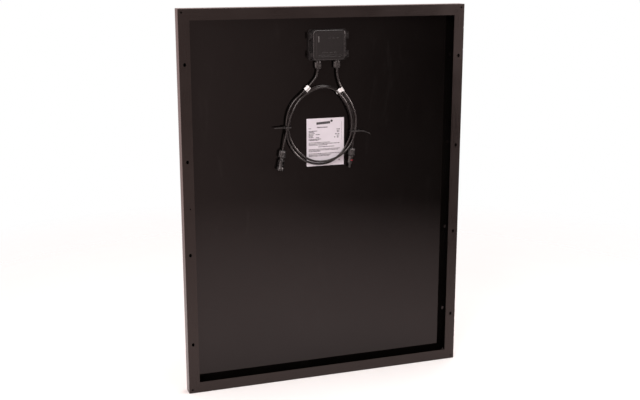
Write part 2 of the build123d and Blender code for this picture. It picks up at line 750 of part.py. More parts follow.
def terminals():
    plate_front = TERMINAL_REAR + TERMINAL_SIZE[1]
    z0 = BOX_Z - CARRIER_DROP
    top = SLIT_Z - CARRIER_GAP
    carrier = block(BOX_X - CARRIER_HALF, BOX_X + CARRIER_HALF, plate_front, PLATE_REAR, z0, top)
    half_x, rise, tall = DIVIDER_SIZE[0] / 2, DIVIDER_SIZE[1], DIVIDER_SIZE[2]
    gaps = [x + TERMINAL_PITCH / 2 for x in output_positions()[:-1]]
    for x in gaps:
        carrier += block(x - half_x, x + half_x, TERMINAL_REAR - rise, plate_front, z0, z0 + tall)
    nodes["terminal_carrier"] = carrier
    half = TERMINAL_SIZE[0] / 2
    foot = z0 + TERMINAL_SIZE[1]
    plates = [
        block(x - half, x + half, TERMINAL_REAR, plate_front, foot, foot + TERMINAL_SIZE[2])
        for x in output_positions()
    ]
    nodes["terminal_plates"] = Compound(children=plates)
    diodes = []
    y = TERMINAL_REAR - DIODE_R - TERMINAL_SIZE[1]
    z = BOX_Z + DIODE_RISE
    thin = LEAD_SIDE / 2
    for x in gaps:
        body = Pos(x, y, z) * Rot(0, 90, 0) * Cylinder(DIODE_R, DIODE_LENGTH)
        body += block(x - LEAD_REACH, x + LEAD_REACH, y - thin, y + thin, z - thin, z + thin)
        for end in (x - LEAD_REACH, x + LEAD_REACH - LEAD_SIDE):
            body += block(end, end + LEAD_SIDE, y, TERMINAL_REAR, z - thin, z + thin)
        diodes.append(body)
    nodes["bypass_diodes"] = Compound(children=diodes)


def cable_inner_ends():
    """Insulated stretch inside the gland, stripped core and clamp on the outer terminals."""
    tail_start = LEFT_ROUTE[0][2]
    tail_end = BOX_Z - TRAY_HALF[1] + TRAY_WALL + TONGUE_LEDGE
    core_end = tail_end + CORE_LENGTH
    clamp_start = core_end - CLAMP_SIDE
    half = CLAMP_SIDE / 2
    tails, cores, clamps = [], [], []
    for x in GLAND_X.values():
        core = along_z(CORE_R, tail_end, core_end, x, GLAND_Y)
        clamp = block(x - half, x + half, GLAND_Y - half, TERMINAL_REAR, clamp_start, core_end)
        tails.append(along_z(CABLE_R, tail_start, tail_end, x, GLAND_Y))
        cores.append(core)
        clamps.append(clamp - core)
    nodes["cable_tails"] = Compound(children=tails)
    nodes["cable_cores"] = Compound(children=cores)
    nodes["cable_clamps"] = Compound(children=clamps)


# Cable nuts, glands and connectors


def revolved(points):
    """Solid of revolution about Z from an outline given as radius and height."""
    return revolve(make_face(Plane.XZ * Polyline(*points, close=True)), Axis.Z)


def cable_nut(length, radius, turn):
    """Fluted cap nut with the cable mouth at Z = 0 and its open threaded end at Z = length."""
    bore = NECK_R + THREAD_CLEARANCE
    nut = revolved(
        [
            (CABLE_HOLE_R, 0),
            (radius - NUT_TAPER, 0),
            (radius, NUT_TAPER * NUT_TAPER_RISE),
            (radius, length - NUT_EDGE),
            (radius - NUT_EDGE, length),
            (bore, length),
            (bore, NUT_FLOOR),
            (CABLE_HOLE_R, NUT_FLOOR),
        ]
    )
    flute = Pos(0, 0, length / 2) * Cylinder(FLUTE_R, length + CUT_MARGIN)
    for location in PolarLocations(radius - FLUTE_DEPTH + FLUTE_R, NUT_FLUTES, start_angle=turn):
        nut -= location * flute
    return nut


def seal_sleeve(start, end):
    """Rubber sleeve between the cable and the threaded neck."""
    return along_z(SEAL_R, start, end) - along_z(CABLE_R, start - CUT_MARGIN, end + CUT_MARGIN)


def glands():
    nut = cable_nut(GLAND_LENGTH, GLAND_NUT_R, NUT_TURN["gland"])
    sleeve = seal_sleeve(*GLAND_SEAL)
    for name, x in GLAND_X.items():
        place = Pos(x, GLAND_Y, GLAND_MOUTH_Z)
        nodes[f"gland_nut_{name}"] = place * nut
        nodes[f"gland_seal_{name}"] = place * sleeve


def socket_housing():
    """Socket connector body, mouth of the cable at Z = 0, with windows beside its front rib."""
    body = revolved(SOCKET_OUTLINE)
    r0, r1 = WINDOW_RADII
    for turn in WINDOW_TURNS:
        for start, end in WINDOW_SPANS:
            body -= Rot(0, 0, turn) * block(r0, r1, -WINDOW_HALF, WINDOW_HALF, start, end)
    return body


def plug_housing():
    """Plug connector body with two latch fingers beside a stepped nose, grooved for its ring."""
    body = revolved(PLUG_OUTLINE)
    for turn in (FINGER_TURN, FINGER_TURN + 180):
        for r0, r1, start, end in (FINGER_BLADE, FINGER_HOOK):
            body += Rot(0, 0, turn) * block(r0, r1, -FINGER_HALF, FINGER_HALF, start, end)
    return body


def connectors():
    mouths = {"left": (LEFT_MOUTH, LEFT_TILT), "right": (RIGHT_MOUTH, RIGHT_TILT)}
    housings = {"left": socket_housing(), "right": plug_housing()}
    nut = cable_nut(CONNECTOR_NUT_LENGTH, CONNECTOR_NUT_R, NUT_TURN["connector"])
    contact = along_z(CONTACT_R, *CONTACT_SPAN)
    sleeve = seal_sleeve(*CONNECTOR_SEAL)
    for name, (mouth, tilt) in mouths.items():
        place = Pos(*mouth) * Rot(0, 180 + tilt, 0)
        nodes[f"connector_{name}_housing"] = place * housings[name]
        nodes[f"connector_{name}_nut"] = place * nut
        nodes[f"connector_{name}_seal"] = place * sleeve
        nodes[f"connector_{name}_contact"] = place * contact
    ring_r, ring_thick, ring_z = O_RING
    ring = Pos(*RIGHT_MOUTH) * Rot(0, 180 + RIGHT_TILT, 0) * Pos(0, 0, ring_z)
    nodes["connector_right_o_ring"] = ring * Torus(ring_r, ring_thick)


# Cables


def bend_radii(route):
    """Largest arc at each corner that its two runs allow."""
    points = [Vector(*p) for p in route]
    radii = []
    for before, corner, after in zip(points, points[1:], points[2:]):
        run_in = corner - before
        run_out = after - corner
        half_turn = math.radians(run_in.get_angle(run_out)) / 2
        radii.append(ARC_SHARE * min(run_in.length, run_out.length) / math.tan(half_turn))
    return radii


def cable(name, route):
    radii = bend_radii(route)
    path = FilletPolyline(*route, radius=radii)
    section = Plane(origin=path @ 0, z_dir=path % 0) * Circle(CABLE_R)
    tube = sweep(section, path=path)
    nodes[name] = tube
    expected = math.pi * CABLE_R**2 * path.length
    print(name, "length", round(path.length, 1), "radii", [round(r, 1) for r in radii])
    print(name, "volume", round(tube.volume, 1), "section times length", round(expected, 1))


def cable_tie(centre, half, tail_points):
    """Closed strap round the strands with its head and a free tail."""
    x, y, z = centre
    plane = Plane(origin=(x, y, z - TIE_WIDTH / 2))
    outer = (half[0] + TIE_THICKNESS, half[1] + TIE_THICKNESS)
    outer_loop = RectangleRounded(2 * outer[0], 2 * outer[1], TIE_CORNER + TIE_THICKNESS)
    strap = extrude(plane * outer_loop, TIE_WIDTH)
    strap -= extrude(plane * RectangleRounded(2 * half[0], 2 * half[1], TIE_CORNER), TIE_WIDTH)
    side = 1 if tail_points[-1][0] > x else -1
    head_x = x + side * (outer[0] + TIE_HEAD / 2)
    head_y = y - half[1] / 2
    grip = TIE_HEAD / 2
    strap += block(head_x - grip, head_x + grip, head_y - grip, head_y + grip, z - grip, z + grip)
    tail = Polyline((head_x, head_y, z), *tail_points)
    start = Plane(origin=(head_x, head_y, z), z_dir=(side, 0, 0))
    flat = start * Rectangle(TIE_THICKNESS, TIE_TAIL_WIDTH)
    return strap + sweep(flat, path=tail, transition=Transition.RIGHT)


def cable_ties():
    nodes["cable_tie_left"] = cable_tie(LEFT_TIE, LEFT_TIE_HALF, LEFT_TIE_TAIL)
    nodes["cable_tie_right"] = cable_tie(RIGHT_TIE, RIGHT_TIE_HALF, RIGHT_TIE_TAIL)


def tape_tag(ends, wings):
    """Folded tape flag round a cable, with a wing of its own reach on each side."""
    start, end = Vector(*ends[0]), Vector(*ends[1])
    along = (end - start).normalized()
    plane = Plane(origin=start, x_dir=(0, 1, 0), z_dir=along)
    wrap = CABLE_R + TAG_WRAP
    foot = wrap + TAG_EDGE
    near = [
        (TAG_EDGE, wings[1]),
        (TAG_EDGE, foot),
        (wrap, TAG_FOLD),
        (wrap, -TAG_FOLD),
        (TAG_EDGE, -foot),
        (TAG_EDGE, -wings[0]),
    ]
    outline = near + [(-a, b) for a, b in reversed(near)]
    flag = extrude(plane * make_face(Polyline(*outline, close=True)), (end - start).length)
    bore = Plane(origin=start - along, z_dir=along) * Circle(TAG_BORE_R)
    return flag - extrude(bore, (end - start).length + 2)


def tags():
    nodes["cable_tag_left"] = tape_tag(LEFT_TAG, LEFT_TAG_WINGS)
    nodes["cable_tag_right"] = tape_tag(RIGHT_TAG, RIGHT_TAG_WINGS)


def rating_label():
    x, z = LABEL_CENTRE
    half = (LABEL_SIZE[0] / 2, LABEL_SIZE[1] / 2)
    rear = BACKSHEET_REAR - LABEL_THICKNESS
    nodes["rating_label"] = rounded_slab(half, LABEL_CORNER, rear, BACKSHEET_REAR, x, z)


frame_rails()
corner_keys()
laminate()
cell_strings()
string_ribbons()
bus_ribbons()
output_ribbons()
rating_label()
junction_box_base()
junction_box_lid()
junction_box_small_parts()
terminals()
cable_inner_ends()
glands()
connectors()
cable("cable_left", LEFT_ROUTE)
cable("cable_right", RIGHT_ROUTE)
cable_ties()
tags()

for node, shape in nodes.items():
    export_step(shape, f"parts/{node}.step")
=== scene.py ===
import json
import math
import random

import bmesh
import bpy
from mathutils import Matrix, Vector


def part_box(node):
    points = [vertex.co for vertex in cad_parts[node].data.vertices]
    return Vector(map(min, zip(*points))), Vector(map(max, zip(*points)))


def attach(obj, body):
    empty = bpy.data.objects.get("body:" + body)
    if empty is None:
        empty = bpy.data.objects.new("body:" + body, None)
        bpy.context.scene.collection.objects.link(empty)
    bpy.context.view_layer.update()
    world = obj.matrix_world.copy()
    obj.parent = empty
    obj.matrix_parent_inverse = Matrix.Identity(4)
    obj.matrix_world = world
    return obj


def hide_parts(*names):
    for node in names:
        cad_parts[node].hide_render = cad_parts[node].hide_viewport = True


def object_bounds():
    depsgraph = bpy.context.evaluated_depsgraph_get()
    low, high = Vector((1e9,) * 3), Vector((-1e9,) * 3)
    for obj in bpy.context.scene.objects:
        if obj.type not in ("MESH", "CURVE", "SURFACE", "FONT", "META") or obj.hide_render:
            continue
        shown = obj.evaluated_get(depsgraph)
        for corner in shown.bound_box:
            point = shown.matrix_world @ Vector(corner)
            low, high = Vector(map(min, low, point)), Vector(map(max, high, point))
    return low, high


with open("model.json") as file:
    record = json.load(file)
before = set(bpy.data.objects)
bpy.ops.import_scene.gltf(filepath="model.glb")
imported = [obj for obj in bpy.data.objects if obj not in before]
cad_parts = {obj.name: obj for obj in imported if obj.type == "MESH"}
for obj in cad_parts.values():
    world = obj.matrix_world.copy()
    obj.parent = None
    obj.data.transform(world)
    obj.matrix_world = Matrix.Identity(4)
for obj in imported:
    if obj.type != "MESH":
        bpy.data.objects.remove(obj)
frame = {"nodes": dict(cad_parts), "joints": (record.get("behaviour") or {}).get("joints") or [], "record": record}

cad_low, cad_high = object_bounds()
MM = 0.001
PARTS = frame["nodes"]
RECORD = frame["record"]
JOINTS = {joint["name"]: joint for joint in frame["joints"]}

# Camera: where its axis meets the rear mounting plane, and how it stands to it
CAMERA_TARGET = Vector((-0.0218, 0.0, -0.0026))
CAMERA_DISTANCE = 2.838
CAMERA_AZIMUTH = math.radians(-19.04)
CAMERA_ELEVATION = math.radians(13.5)
CAMERA_LENS = 57.65

# Studio
FLOOR_RADIUS = 2.2
FLOOR_GAP = 0.0005
FLOOR_FADE = 2.0
FLOOR_COLORS = ((0.95, 0.94, 0.935), (0.97, 0.96, 0.955))
ROOM_COLOR = (1.0, 0.84, 0.80)
BACKDROP_COLOR = (1.0, 0.74, 0.71)
BACKDROP_LIGHT = 0.95
ROOM_LIGHT = 0.78

# Where the room's light fades out, as the X of a direction, and where the backdrop takes over, as its Y
ROOM_FADE = (0.12, 0.46)
BACKDROP_FADE = (-0.1, 0.5)

# Lamps, in metres: place, aim, width and height, watts, colour, and whether matt surfaces are lit too
STRIP_AIM = (0.0, 0.0, 0.25)
STRIP_SIZE = (0.4, 1.5)
STRIP_POWER = 11.0
STRIP_COLOR = (1.0, 0.88, 0.86)
LAMPS = {
    "key_light": ((-1.9, -2.0, 1.9), (0.0, 0.0, 0.1), (1.5, 1.5), 64.0, (1.0, 0.97, 0.96), True),
    "top_light": ((0.6, -0.4, 2.6), (0.4, -0.4, -0.5), (2.2, 1.4), 64.0, (1.0, 1.0, 1.0), True),
    "side_light": ((2.3, -1.6, 0.9), (0.4, 0.0, 0.4), (0.8, 0.8), 60.0, (1.0, 0.9, 0.88), False),
    "left_strip": ((-2.2, -1.1, 0.25), STRIP_AIM, STRIP_SIZE, STRIP_POWER, STRIP_COLOR, False),
    "right_strip": ((1.95, -1.6, 0.25), STRIP_AIM, STRIP_SIZE, STRIP_POWER, STRIP_COLOR, False),
}

# Cables, in metres: the same routes as the tubes in the frame
CABLE_DIAMETER = 0.006
ROUTES = {
    "left": [
        (-0.0210, 0.0182, 0.3720),
        (-0.0210, 0.0182, 0.3430),
        (-0.0390, 0.0174, 0.3200),
        (-0.0670, 0.0168, 0.2930),
        (-0.0910, 0.0169, 0.2730),
        (-0.1050, 0.0173, 0.2490),
        (-0.1120, 0.0176, 0.2210),
        (-0.1115, 0.0184, 0.1920),
        (-0.1070, 0.0196, 0.1630),
        (-0.0930, 0.0208, 0.1370),
        (-0.0730, 0.0212, 0.1145),
        (-0.0450, 0.0214, 0.0995),
        (-0.0150, 0.0216, 0.0935),
        (0.0150, 0.0218, 0.0975),
        (0.0380, 0.0217, 0.1115),
        (0.0550, 0.0206, 0.1300),
        (0.0685, 0.0186, 0.1530),
        (0.0760, 0.0170, 0.1770),
        (0.0775, 0.0154, 0.2030),
        (0.0740, 0.0136, 0.2290),
        (0.0640, 0.0122, 0.2550),
        (0.0480, 0.0112, 0.2790),
        (0.0280, 0.0108, 0.2990),
        (0.0030, 0.0110, 0.3095),
        (-0.0240, 0.0113, 0.3080),
        (-0.0510, 0.0115, 0.2960),
        (-0.0740, 0.0114, 0.2800),
        (-0.0910, 0.0111, 0.2570),
        (-0.1020, 0.0108, 0.2310),
        (-0.1090, 0.0108, 0.2060),
        (-0.1148, 0.0124, 0.1810),
        (-0.1212, 0.0165, 0.1529),
        (-0.1248, 0.0165, 0.1291),
    ],
    "right": [
        (0.0330, 0.0182, 0.3720),
        (0.0330, 0.0182, 0.3440),
        (0.0395, 0.0182, 0.3165),
        (0.0495, 0.0176, 0.2965),
        (0.0640, 0.0162, 0.2785),
        (0.0770, 0.0148, 0.2560),
        (0.0865, 0.0142, 0.2310),
        (0.0890, 0.0136, 0.2030),
        (0.0850, 0.0128, 0.1750),
        (0.0745, 0.0128, 0.1480),
        (0.0570, 0.0138, 0.1260),
        (0.0330, 0.0150, 0.1110),
        (0.0090, 0.0166, 0.1035),
        (-0.0170, 0.0178, 0.1015),
        (-0.0420, 0.0186, 0.1065),
        (-0.0650, 0.0194, 0.1210),
        (-0.0840, 0.0204, 0.1400),
        (-0.0980, 0.0212, 0.1630),
        (-0.1055, 0.0222, 0.1900),
        (-0.1055, 0.0236, 0.2190),
        (-0.1030, 0.0242, 0.2470),
        (-0.0890, 0.0243, 0.2720),
        (-0.0650, 0.0243, 0.2920),
        (-0.0390, 0.0235, 0.3050),
        (-0.0100, 0.0216, 0.3125),
        (0.0180, 0.0204, 0.3075),
        (0.0420, 0.0205, 0.2950),
        (0.0620, 0.0218, 0.2740),
        (0.0745, 0.0224, 0.2505),
        (0.0845, 0.0215, 0.2260),
        (0.0860, 0.0219, 0.2000),
        (0.0825, 0.0217, 0.1740),
        (0.0807, 0.0180, 0.1474),
        (0.0773, 0.0180, 0.1236),
    ],
}

# Tape of the tags, in millimetres: two layers together, and their gap from the cable
TAPE_THICKNESS = 0.56
TAPE_GAP = 0.12

# Tape tags, in millimetres: where each starts and ends on its cable, reach of its two wings, how far
# the long wing stands off, and where the wing starts and ends along the tag from root to tip
TAGS = {
    "left": (
        ((-47.8, 17.2, 311.5), (-58.2, 17.0, 301.5)),
        (5.9, 7.8),
        0.3,
        [(0.0, 0.0, 1.0), (0.5, -0.02, 0.98), (1.0, 0.07, 0.93)],
    ),
    "right": (
        ((45.5, 17.9, 304.4), (51.6, 17.4, 294.6)),
        (19.5, 3.6),
        1.5,
        [(0.0, 0.0, 0.90), (0.36, -0.16, 0.86), (0.46, 0.12, 0.82), (1.0, -0.02, 0.70)],
    ),
}

# Cable ties, in millimetres: centre and inner half size of the loop, the free tail, and its twist in degrees
TIE_WIDTH = 4.0
TIE_THICKNESS = 1.2
TIE_CORNER = 3.6
TAIL_WIDTH = 3.2
TAIL_THICKNESS = 1.0
TAIL_STEPS = 14
TIES = {
    "left": ((-108.6, 17.1, 203.0), (7.2, 9.4), [(-134.0, 13.4, 202.4), (-147.0, 14.4, 202.0)], 0),
    "right": ((82.2, 17.2, 183.0), (9.6, 8.0), [(112.0, 15.0, 181.0), (131.0, 16.4, 172.5)], 70),
}

# Nuts, in millimetres and degrees: length, radius, depth of the grooves, and where the first one lies
NUT_FLUTES = 6
NUT_SEGMENTS = 144
GROOVE_POWER = 3.5
FLUTED_POINTS = range(6, 15)
GLAND_NUT = (20.5, 9.2, 1.9, 11.0)
CONNECTOR_NUT = (20.0, 9.8, 1.2, 34.0)

# Openings of the socket and fingers of the plug, in millimetres from the cable mouth, and turns in degrees
WINDOW_TURNS = (-21.0, -121.0)
WINDOW_HALF = 3.1
WINDOW_SPANS = ((31.0, 39.0), (41.5, 46.5))
FINGER_TURNS = (-49.0, 131.0)
FINGER_HALF = 3.2

# Junction box lid, in millimetres: its edges, latch fingers and plain raised marks, from the lid's middle
LID_EDGE = 2.8
LID_CORNER = 9.0
LID_INNER_CORNER = 4.8
LID_WALL = 2.3
LID_TOP = 2.2
LID_SKIRT = 11.9
LATCH_X = (51.2, 53.2)
LATCH_OFFSETS = (-25.0, 25.0)
LATCH_HALF = 6
# The bar, rows and lines are drawn in lighter plastic than the lid: painted highlight
LID_BAR = (-32.6, -29.4, 8.0, 24.0)
LID_LINES = (-26.4, -31.0)
UPPER_ROW = ((-4.0, 3.0), (2.0, 1.4), (8.0, 3.6), (14.0, 1.6), (20.0, 2.6))
LOWER_ROW = ((-22.0, 3.2), (-15.5, 3.2), (-9.0, 3.2), (0.0, 9.0), (12.0, 7.5))

# Angles in degrees above which an edge is rounded, or shaded as sharp; the rounding is in millimetres
EDGE_ANGLE = 50.0
SMOOTH_ANGLE = 35.0
RIM_ANGLE = 40.0
BASE_EDGE = 0.5
MOULDED_EDGE = 0.25
FINGER_EDGE = 0.3


# Node helpers


def link(tree, source, target):
    tree.links.new(source, target)


def object_point(tree, stretch=(1.0, 1.0, 1.0)):
    """The piece's own coordinates in metres, squeezed along each axis by stretch."""
    coordinates = tree.nodes.new("ShaderNodeTexCoord")
    mapping = tree.nodes.new("ShaderNodeMapping")
    mapping.inputs["Scale"].default_value = stretch
    link(tree, coordinates.outputs["Object"], mapping.inputs["Vector"])
    return mapping.outputs["Vector"]


def noise(tree, scale, detail=3.0, stretch=(1.0, 1.0, 1.0), distortion=0.0):
    node = tree.nodes.new("ShaderNodeTexNoise")
    node.inputs["Scale"].default_value = scale
    node.inputs["Detail"].default_value = detail
    node.inputs["Distortion"].default_value = distortion
    link(tree, object_point(tree, stretch), node.inputs["Vector"])
    return node.outputs["Fac"]


def spread(tree, value, low, high, start=0.3, end=0.7):
    """Maps a pattern's value from start..end to low..high."""
    node = tree.nodes.new("ShaderNodeMapRange")
    node.inputs["From Min"].default_value = start
    node.inputs["From Max"].default_value = end
    node.inputs["To Min"].default_value = low
    node.inputs["To Max"].default_value = high
    link(tree, value, node.inputs["Value"])
    return node.outputs["Result"]


def math_node(tree, operation, first, second):
    node = tree.nodes.new("ShaderNodeMath")
    node.operation = operation
    for socket, value in zip(node.inputs, (first, second)):
        if isinstance(value, (int, float)):
            socket.default_value = value
        else:
            link(tree, value, socket)
    return node.outputs["Value"]


def blend_colors(tree, factor, first, second):
    node = tree.nodes.new("ShaderNodeMix")
    node.data_type = "RGBA"
    link(tree, factor, node.inputs["Factor"])
    for socket, value in ((node.inputs[6], first), (node.inputs[7], second)):
        if isinstance(value, tuple):
            socket.default_value = (*value, 1.0)
        else:
            link(tree, value, socket)
    return node.outputs[2]


def bump(tree, height, distance, strength):
    """Bump of the given depth in metres."""
    node = tree.nodes.new("ShaderNodeBump")
    node.inputs["Distance"].default_value = distance
    node.inputs["Strength"].default_value = strength
    link(tree, height, node.inputs["Height"])
    return node.outputs["Normal"]


def shader(name, ior=1.5, metallic=0.0, **sockets):
    """New node material. Returns it with its tree and its Principled shader."""
    material = bpy.data.materials.new(name)
    material.use_nodes = True
    tree = material.node_tree
    principled = tree.nodes["Principled BSDF"]
    principled.inputs["IOR"].default_value = ior
    principled.inputs["Metallic"].default_value = metallic
    for socket, value in sockets.items():
        principled.inputs[socket.replace("_", " ")].default_value = value
    return material, tree, principled


# Materials


# Stretch of a pattern into lines along an axis
ALONG_X = (0.02, 1.0, 1.0)
ALONG_Z = (1.0, 1.0, 0.02)


def anodised(name, stretch):
    """Black anodised extrusion: satin, with faint die lines along the rail and dusty patches."""
    material, tree, principled = shader(name, ior=1.46, Specular_Tint=(1.0, 0.80, 0.76, 1.0))
    lines = noise(tree, 900.0, 2.0, stretch)
    clouds = noise(tree, 7.0, 4.0)
    dark, dusty, drawn = (0.0060, 0.0043, 0.0040), (0.0092, 0.0069, 0.0065), (0.014, 0.0108, 0.0102)
    base = blend_colors(tree, spread(tree, clouds, 0.0, 1.0), dark, dusty)
    base = blend_colors(tree, spread(tree, lines, 0.0, 0.35), base, drawn)
    link(tree, base, principled.inputs["Base Color"])
    rough = math_node(tree, "ADD", spread(tree, clouds, 0.24, 0.30), spread(tree, lines, 0.0, 0.05))
    link(tree, rough, principled.inputs["Roughness"])
    link(tree, bump(tree, lines, 0.00002, 0.5), principled.inputs["Normal"])
    return material


def backsheet_film():
    """Glossy black film: a dark mirror, faintly wavy, with dust and wiping marks."""
    material, tree, principled = shader("backsheet_film", ior=1.42, Specular_Tint=(1.0, 0.84, 0.83, 1.0))
    dust = noise(tree, 5.0, 5.0, distortion=0.6)
    wipes = noise(tree, 26.0, 4.0, (1.0, 1.0, 0.22), 1.2)
    clean, dusty, wiped = (0.0016, 0.0013, 0.0012), (0.0030, 0.0025, 0.0023), (0.0085, 0.0075, 0.0072)
    base = blend_colors(tree, spread(tree, dust, 0.0, 1.0), clean, dusty)
    base = blend_colors(tree, spread(tree, wipes, 0.0, 0.7, 0.62, 0.85), base, wiped)
    link(tree, base, principled.inputs["Base Color"])
    smeared = spread(tree, wipes, 0.0, 0.05, 0.5, 0.8)
    rough = math_node(tree, "ADD", spread(tree, dust, 0.035, 0.06), smeared)
    link(tree, rough, principled.inputs["Roughness"])
    waves = noise(tree, 11.0, 1.0)
    link(tree, bump(tree, waves, 0.0006, 0.25), principled.inputs["Normal"])
    return material


def moulded_plastic(name, dark, light, rough_low, rough_high, grain=1400.0, depth=0.00003):
    """Black moulded plastic with a fine spark-eroded grain and slightly rubbed patches."""
    material, tree, principled = shader(name, ior=1.5, Specular_Tint=(1.0, 0.93, 0.92, 1.0))
    fine = noise(tree, grain, 2.0)
    rubbed = noise(tree, 45.0, 3.0)
    base = blend_colors(tree, spread(tree, rubbed, 0.0, 1.0), dark, light)
    link(tree, base, principled.inputs["Base Color"])
    link(tree, spread(tree, rubbed, rough_high, rough_low), principled.inputs["Roughness"])
    link(tree, bump(tree, fine, depth, 0.6), principled.inputs["Normal"])
    return material


def paper():
    """Coated label stock: off-white, a little uneven, with a soft sheen."""
    material, tree, principled = shader("label_paper", ior=1.45)
    tone = noise(tree, 30.0, 3.0)
    base = blend_colors(tree, spread(tree, tone, 0.0, 1.0), (0.635, 0.592, 0.640), (0.685, 0.646, 0.700))
    link(tree, base, principled.inputs["Base Color"])
    link(tree, spread(tree, tone, 0.38, 0.5), principled.inputs["Roughness"])
    link(tree, bump(tree, noise(tree, 60.0, 2.0), 0.0002, 0.3), principled.inputs["Normal"])
    return material


def ink():
    material, tree, principled = shader("label_ink", ior=1.45)
    tone = noise(tree, 800.0, 2.0)
    base = blend_colors(tree, spread(tree, tone, 0.0, 1.0), (0.006, 0.005, 0.006), (0.030, 0.025, 0.027))
    link(tree, base, principled.inputs["Base Color"])
    link(tree, spread(tree, tone, 0.4, 0.6), principled.inputs["Roughness"])
    return material


def white_tape():
    """Folded cloth-backed tape: white and creased."""
    material, tree, principled = shader("tag_tape", ior=1.45)
    creases = noise(tree, 220.0, 3.0, distortion=0.8)
    # Colour darkens where the crease bump dips: painted shade in the crease hollows
    base = blend_colors(tree, spread(tree, creases, 0.0, 1.0), (0.82, 0.79, 0.785), (0.93, 0.91, 0.905))
    link(tree, base, principled.inputs["Base Color"])
    link(tree, spread(tree, creases, 0.45, 0.62), principled.inputs["Roughness"])
    link(tree, bump(tree, creases, 0.0004, 0.5), principled.inputs["Normal"])
    return material


def silicon():
    """Monocrystalline cell: near-black blue with fine silver fingers across it."""
    material, tree, principled = shader("silicon_cell", ior=1.5, Coat_Weight=0.4, Coat_Roughness=0.1)
    point = tree.nodes.new("ShaderNodeSeparateXYZ")
    link(tree, object_point(tree), point.inputs["Vector"])
    pitch = 0.0021
    finger_share = 0.06
    phase = math_node(tree, "FRACT", math_node(tree, "DIVIDE", point.outputs["Z"], pitch), 0.0)
    finger = math_node(tree, "LESS_THAN", phase, finger_share)
    tone = noise(tree, 60.0, 3.0)
    wafer = blend_colors(tree, spread(tree, tone, 0.0, 1.0), (0.004, 0.006, 0.016), (0.007, 0.010, 0.026))
    link(tree, blend_colors(tree, finger, wafer, (0.085, 0.09, 0.10)), principled.inputs["Base Color"])
    link(tree, spread(tree, tone, 0.22, 0.34), principled.inputs["Roughness"])
    return material


def metal(name, dark, light, roughness):
    """Bare or plated metal with lines drawn along Z and slight tarnish."""
    material, tree, principled = shader(name, metallic=1.0)
    tarnish = noise(tree, 120.0, 4.0)
    lines = noise(tree, 2500.0, 1.0, ALONG_Z)
    base = blend_colors(tree, spread(tree, tarnish, 0.0, 1.0), dark, light)
    link(tree, base, principled.inputs["Base Color"])
    link(tree, spread(tree, tarnish, roughness - 0.07, roughness + 0.1), principled.inputs["Roughness"])
    link(tree, bump(tree, lines, 0.00001, 0.4), principled.inputs["Normal"])
    return material


def clear_layer(name, gloss_roughness, tint):
    """Clear glass or film: what lies behind shows through, and its face shines at a slant."""
    material = bpy.data.materials.new(name)
    material.use_nodes = True
    tree = material.node_tree
    tree.nodes.remove(tree.nodes["Principled BSDF"])
    clear = tree.nodes.new("ShaderNodeBsdfTransparent")
    clear.inputs["Color"].default_value = tint
    gloss = tree.nodes.new("ShaderNodeBsdfGlossy")
    roughness = spread(tree, noise(tree, 40.0, 3.0), gloss_roughness, gloss_roughness + 0.03)
    link(tree, roughness, gloss.inputs["Roughness"])
    link(tree, bump(tree, noise(tree, 90.0, 2.0), 0.00004, 0.1), gloss.inputs["Normal"])
    fresnel = tree.nodes.new("ShaderNodeFresnel")
    fresnel.inputs["IOR"].default_value = 1.4
    mix = tree.nodes.new("ShaderNodeMixShader")
    link(tree, fresnel.outputs["Fac"], mix.inputs["Fac"])
    link(tree, clear.outputs["BSDF"], mix.inputs[1])
    link(tree, gloss.outputs["BSDF"], mix.inputs[2])
    link(tree, mix.outputs["Shader"], tree.nodes["Material Output"].inputs["Surface"])
    return material


# Moulded plastics and rubbers: dark and light colour, least and greatest roughness, grain, its depth
PLASTICS = {
    "sealant": ((0.012, 0.012, 0.012), (0.02, 0.02, 0.02), 0.5, 0.65, 500.0),
    "box_plastic": ((0.0095, 0.0085, 0.0087), (0.0150, 0.0135, 0.0139), 0.20, 0.27),
    # The lid's bar and rows are lighter copies of the box plastic: painted highlight
    "lid_bar_painted_highlight": ((0.075, 0.070, 0.070), (0.10, 0.094, 0.094), 0.28, 0.36),
    "lid_rows_painted_highlight": ((0.019, 0.0175, 0.0177), (0.026, 0.024, 0.0243), 0.22, 0.30),
    "seal_rubber": ((0.010, 0.010, 0.010), (0.022, 0.022, 0.022), 0.55, 0.7, 700.0),
    "box_adhesive": ((0.014, 0.014, 0.014), (0.025, 0.025, 0.025), 0.5, 0.6, 300.0),
    "diode_epoxy": ((0.012, 0.012, 0.013), (0.022, 0.022, 0.024), 0.35, 0.5),
    "cable_jacket": ((0.0075, 0.0056, 0.0054), (0.0098, 0.0076, 0.0073), 0.17, 0.21, 900.0, 0.000003),
    "tie_nylon": ((0.003, 0.0028, 0.0028), (0.006, 0.0056, 0.0056), 0.42, 0.50),
    "gland_plastic": ((0.012, 0.0102, 0.0102), (0.018, 0.0156, 0.0155), 0.13, 0.17),
    "red_rubber": ((0.66, 0.016, 0.03), (0.85, 0.028, 0.045), 0.4, 0.55, 900.0),
    "connector_plastic": ((0.011, 0.0100, 0.0102), (0.018, 0.0165, 0.0168), 0.29, 0.36),
}

# Metals: dark and light colour, roughness
METALS = {
    "key_aluminium": ((0.50, 0.50, 0.51), (0.66, 0.66, 0.67), 0.35),
    "tinned_ribbon": ((0.55, 0.56, 0.58), (0.74, 0.75, 0.77), 0.3),
    "plated_copper": ((0.58, 0.36, 0.26), (0.78, 0.56, 0.43), 0.32),
    "contact_metal": ((0.62, 0.61, 0.58), (0.80, 0.79, 0.76), 0.25),
}


